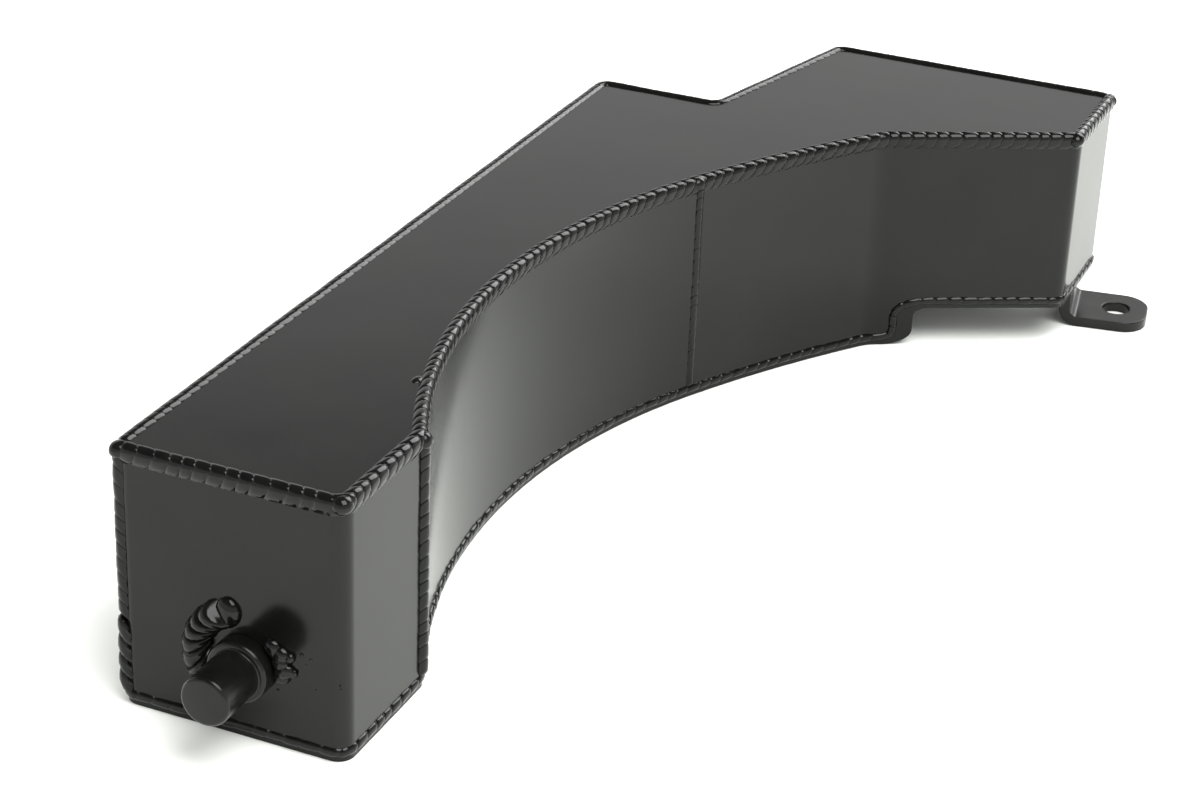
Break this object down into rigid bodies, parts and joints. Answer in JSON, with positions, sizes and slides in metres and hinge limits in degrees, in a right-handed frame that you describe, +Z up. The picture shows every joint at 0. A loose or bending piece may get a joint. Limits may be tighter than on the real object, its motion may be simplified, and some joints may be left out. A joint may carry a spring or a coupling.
{
  "type": "coolant expansion tank",
  "caption": "Welded sheet-metal coolant expansion tank with a concave side, stepped floor, locating peg, bolt tab, hose fittings and a screw cap with pressure valve.",
  "frame": {"origin": "centre of the bounding box on the plane that the bottom plate rests on", "axes": "+X along the straight back edge from the peg towards the cap, +Y away from the concave side, +Z up from the bottom plate"},
  "size_m": [0.4782, 0.237, 0.085],
  "materials": {
    "powder_coat": "gloss black powder coat on welded aluminium sheet",
    "cap_plastic": "moulded, fine grained",
    "seal_rubber": "matt",
    "valve_plastic": "moulded, smooth"
  },
  "bodies": {
    "tank": {"arc_seam_weld": "powder_coat", "arc_wall": "powder_coat", "back_wall": "powder_coat", "bottom_plate": "powder_coat", "bottom_seam_weld": "powder_coat", "far_seam_weld": "powder_coat", "far_wall": "powder_coat", "filler_neck": "powder_coat", "front_corner_weld": "powder_coat", "hose_outlet": "powder_coat", "locating_peg": "powder_coat", "mounting_tab": "powder_coat", "near_corner_weld": "powder_coat", "near_end_wall": "powder_coat", "neck_weld": "powder_coat", "outlet_weld": "powder_coat", "overflow_nipple": "powder_coat", "peg_tack_weld": "powder_coat", "peg_weld": "powder_coat", "tab_weld": "powder_coat", "top_plate": "powder_coat", "top_seam_weld": "powder_coat", "vent_nipple": "powder_coat", "vent_weld": "powder_coat"},
    "valve": {"pressure_valve": "valve_plastic", "cap_seal": "seal_rubber"},
    "cap": {"screw_cap": "cap_plastic"}
  },
  "joints": [
    {"name": "cap_lift", "type": "slide", "parent": "tank", "child": "valve", "axis": [1, 0, 0], "range_m": [0, 0.0101]},
    {"name": "cap_turn", "type": "hinge", "parent": "valve", "child": "cap", "pos_m": [0.22705, -0.03646, 0.048], "axis": [1, 0, 0], "range_deg": [0, 900]}
  ],
  "couplings": [
    {"joint": "cap_lift", "follows": "cap_turn", "m_per_rad": 0.00063662}
  ]
}
